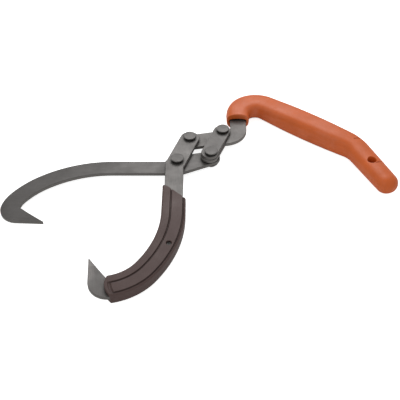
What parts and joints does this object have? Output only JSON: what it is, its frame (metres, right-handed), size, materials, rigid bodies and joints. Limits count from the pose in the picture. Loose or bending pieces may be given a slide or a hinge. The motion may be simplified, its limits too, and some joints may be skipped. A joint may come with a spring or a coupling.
{
  "type": "log lifting tongs",
  "caption": "Self-gripping log lifting tongs: two clawed steel jaws on a pivoted linkage that a cranked moulded handle pulls shut.",
  "frame": {"origin": "middle of the tool's plan box, on the plane it lies on", "axes": "+Z square to the plates, towards the flat rivet heads; +X along the tool's longest side, from the bare claw to the handle's tail; the sleeved jaw points along -Y"},
  "size_m": [0.392, 0.2884, 0.0249],
  "materials": {
    "jaw_steel": "dark hardened steel, satin",
    "plate_steel": "dark blanked steel plate, satin",
    "rivet_steel": "upset steel, dull",
    "grip_plastic": "orange moulded thermoplastic, fine texture",
    "sleeve_plastic": "dark brown moulded sleeve, semi-matte"
  },
  "bodies": {
    "bare_jaw": {"bare_jaw": "jaw_steel", "main_pivot_rivet": "rivet_steel", "main_pivot_washer": "rivet_steel"},
    "sleeved_jaw": {"sleeved_jaw": "jaw_steel", "jaw_sleeve": "sleeve_plastic", "sleeve_pin": "rivet_steel", "sleeved_jaw_tail_rivet": "rivet_steel", "sleeved_jaw_tail_washer": "rivet_steel"},
    "link": {"link_plate": "plate_steel"},
    "handle": {"handle_tang": "plate_steel", "cheek_plate": "plate_steel", "grip": "grip_plastic", "handle_rivet": "rivet_steel", "handle_washer": "rivet_steel", "bare_jaw_tail_rivet": "rivet_steel", "bare_jaw_tail_washer": "rivet_steel"}
  },
  "joints": [
    {"name": "jaw_hinge", "type": "hinge", "parent": "bare_jaw", "child": "sleeved_jaw", "pos_m": [-0.0258, 0.03522, 0.00645], "axis": [0, 0, 1], "range_deg": [-20, 70]},
    {"name": "handle_hinge", "type": "hinge", "parent": "bare_jaw", "child": "handle", "pos_m": [0.00941, 0.0427, 0.00645], "axis": [0, 0, 1], "range_deg": [-20, 70]},
    {"name": "link_hinge", "type": "hinge", "parent": "sleeved_jaw", "child": "link", "pos_m": [-0.0131, 0.07209, 0.00645], "axis": [0, 0, 1], "range_deg": [-70, 20]}
  ],
  "couplings": [
    {"joint": "handle_hinge", "follows": "jaw_hinge", "ratio": 1},
    {"joint": "link_hinge", "follows": "jaw_hinge", "ratio": -1}
  ]
}
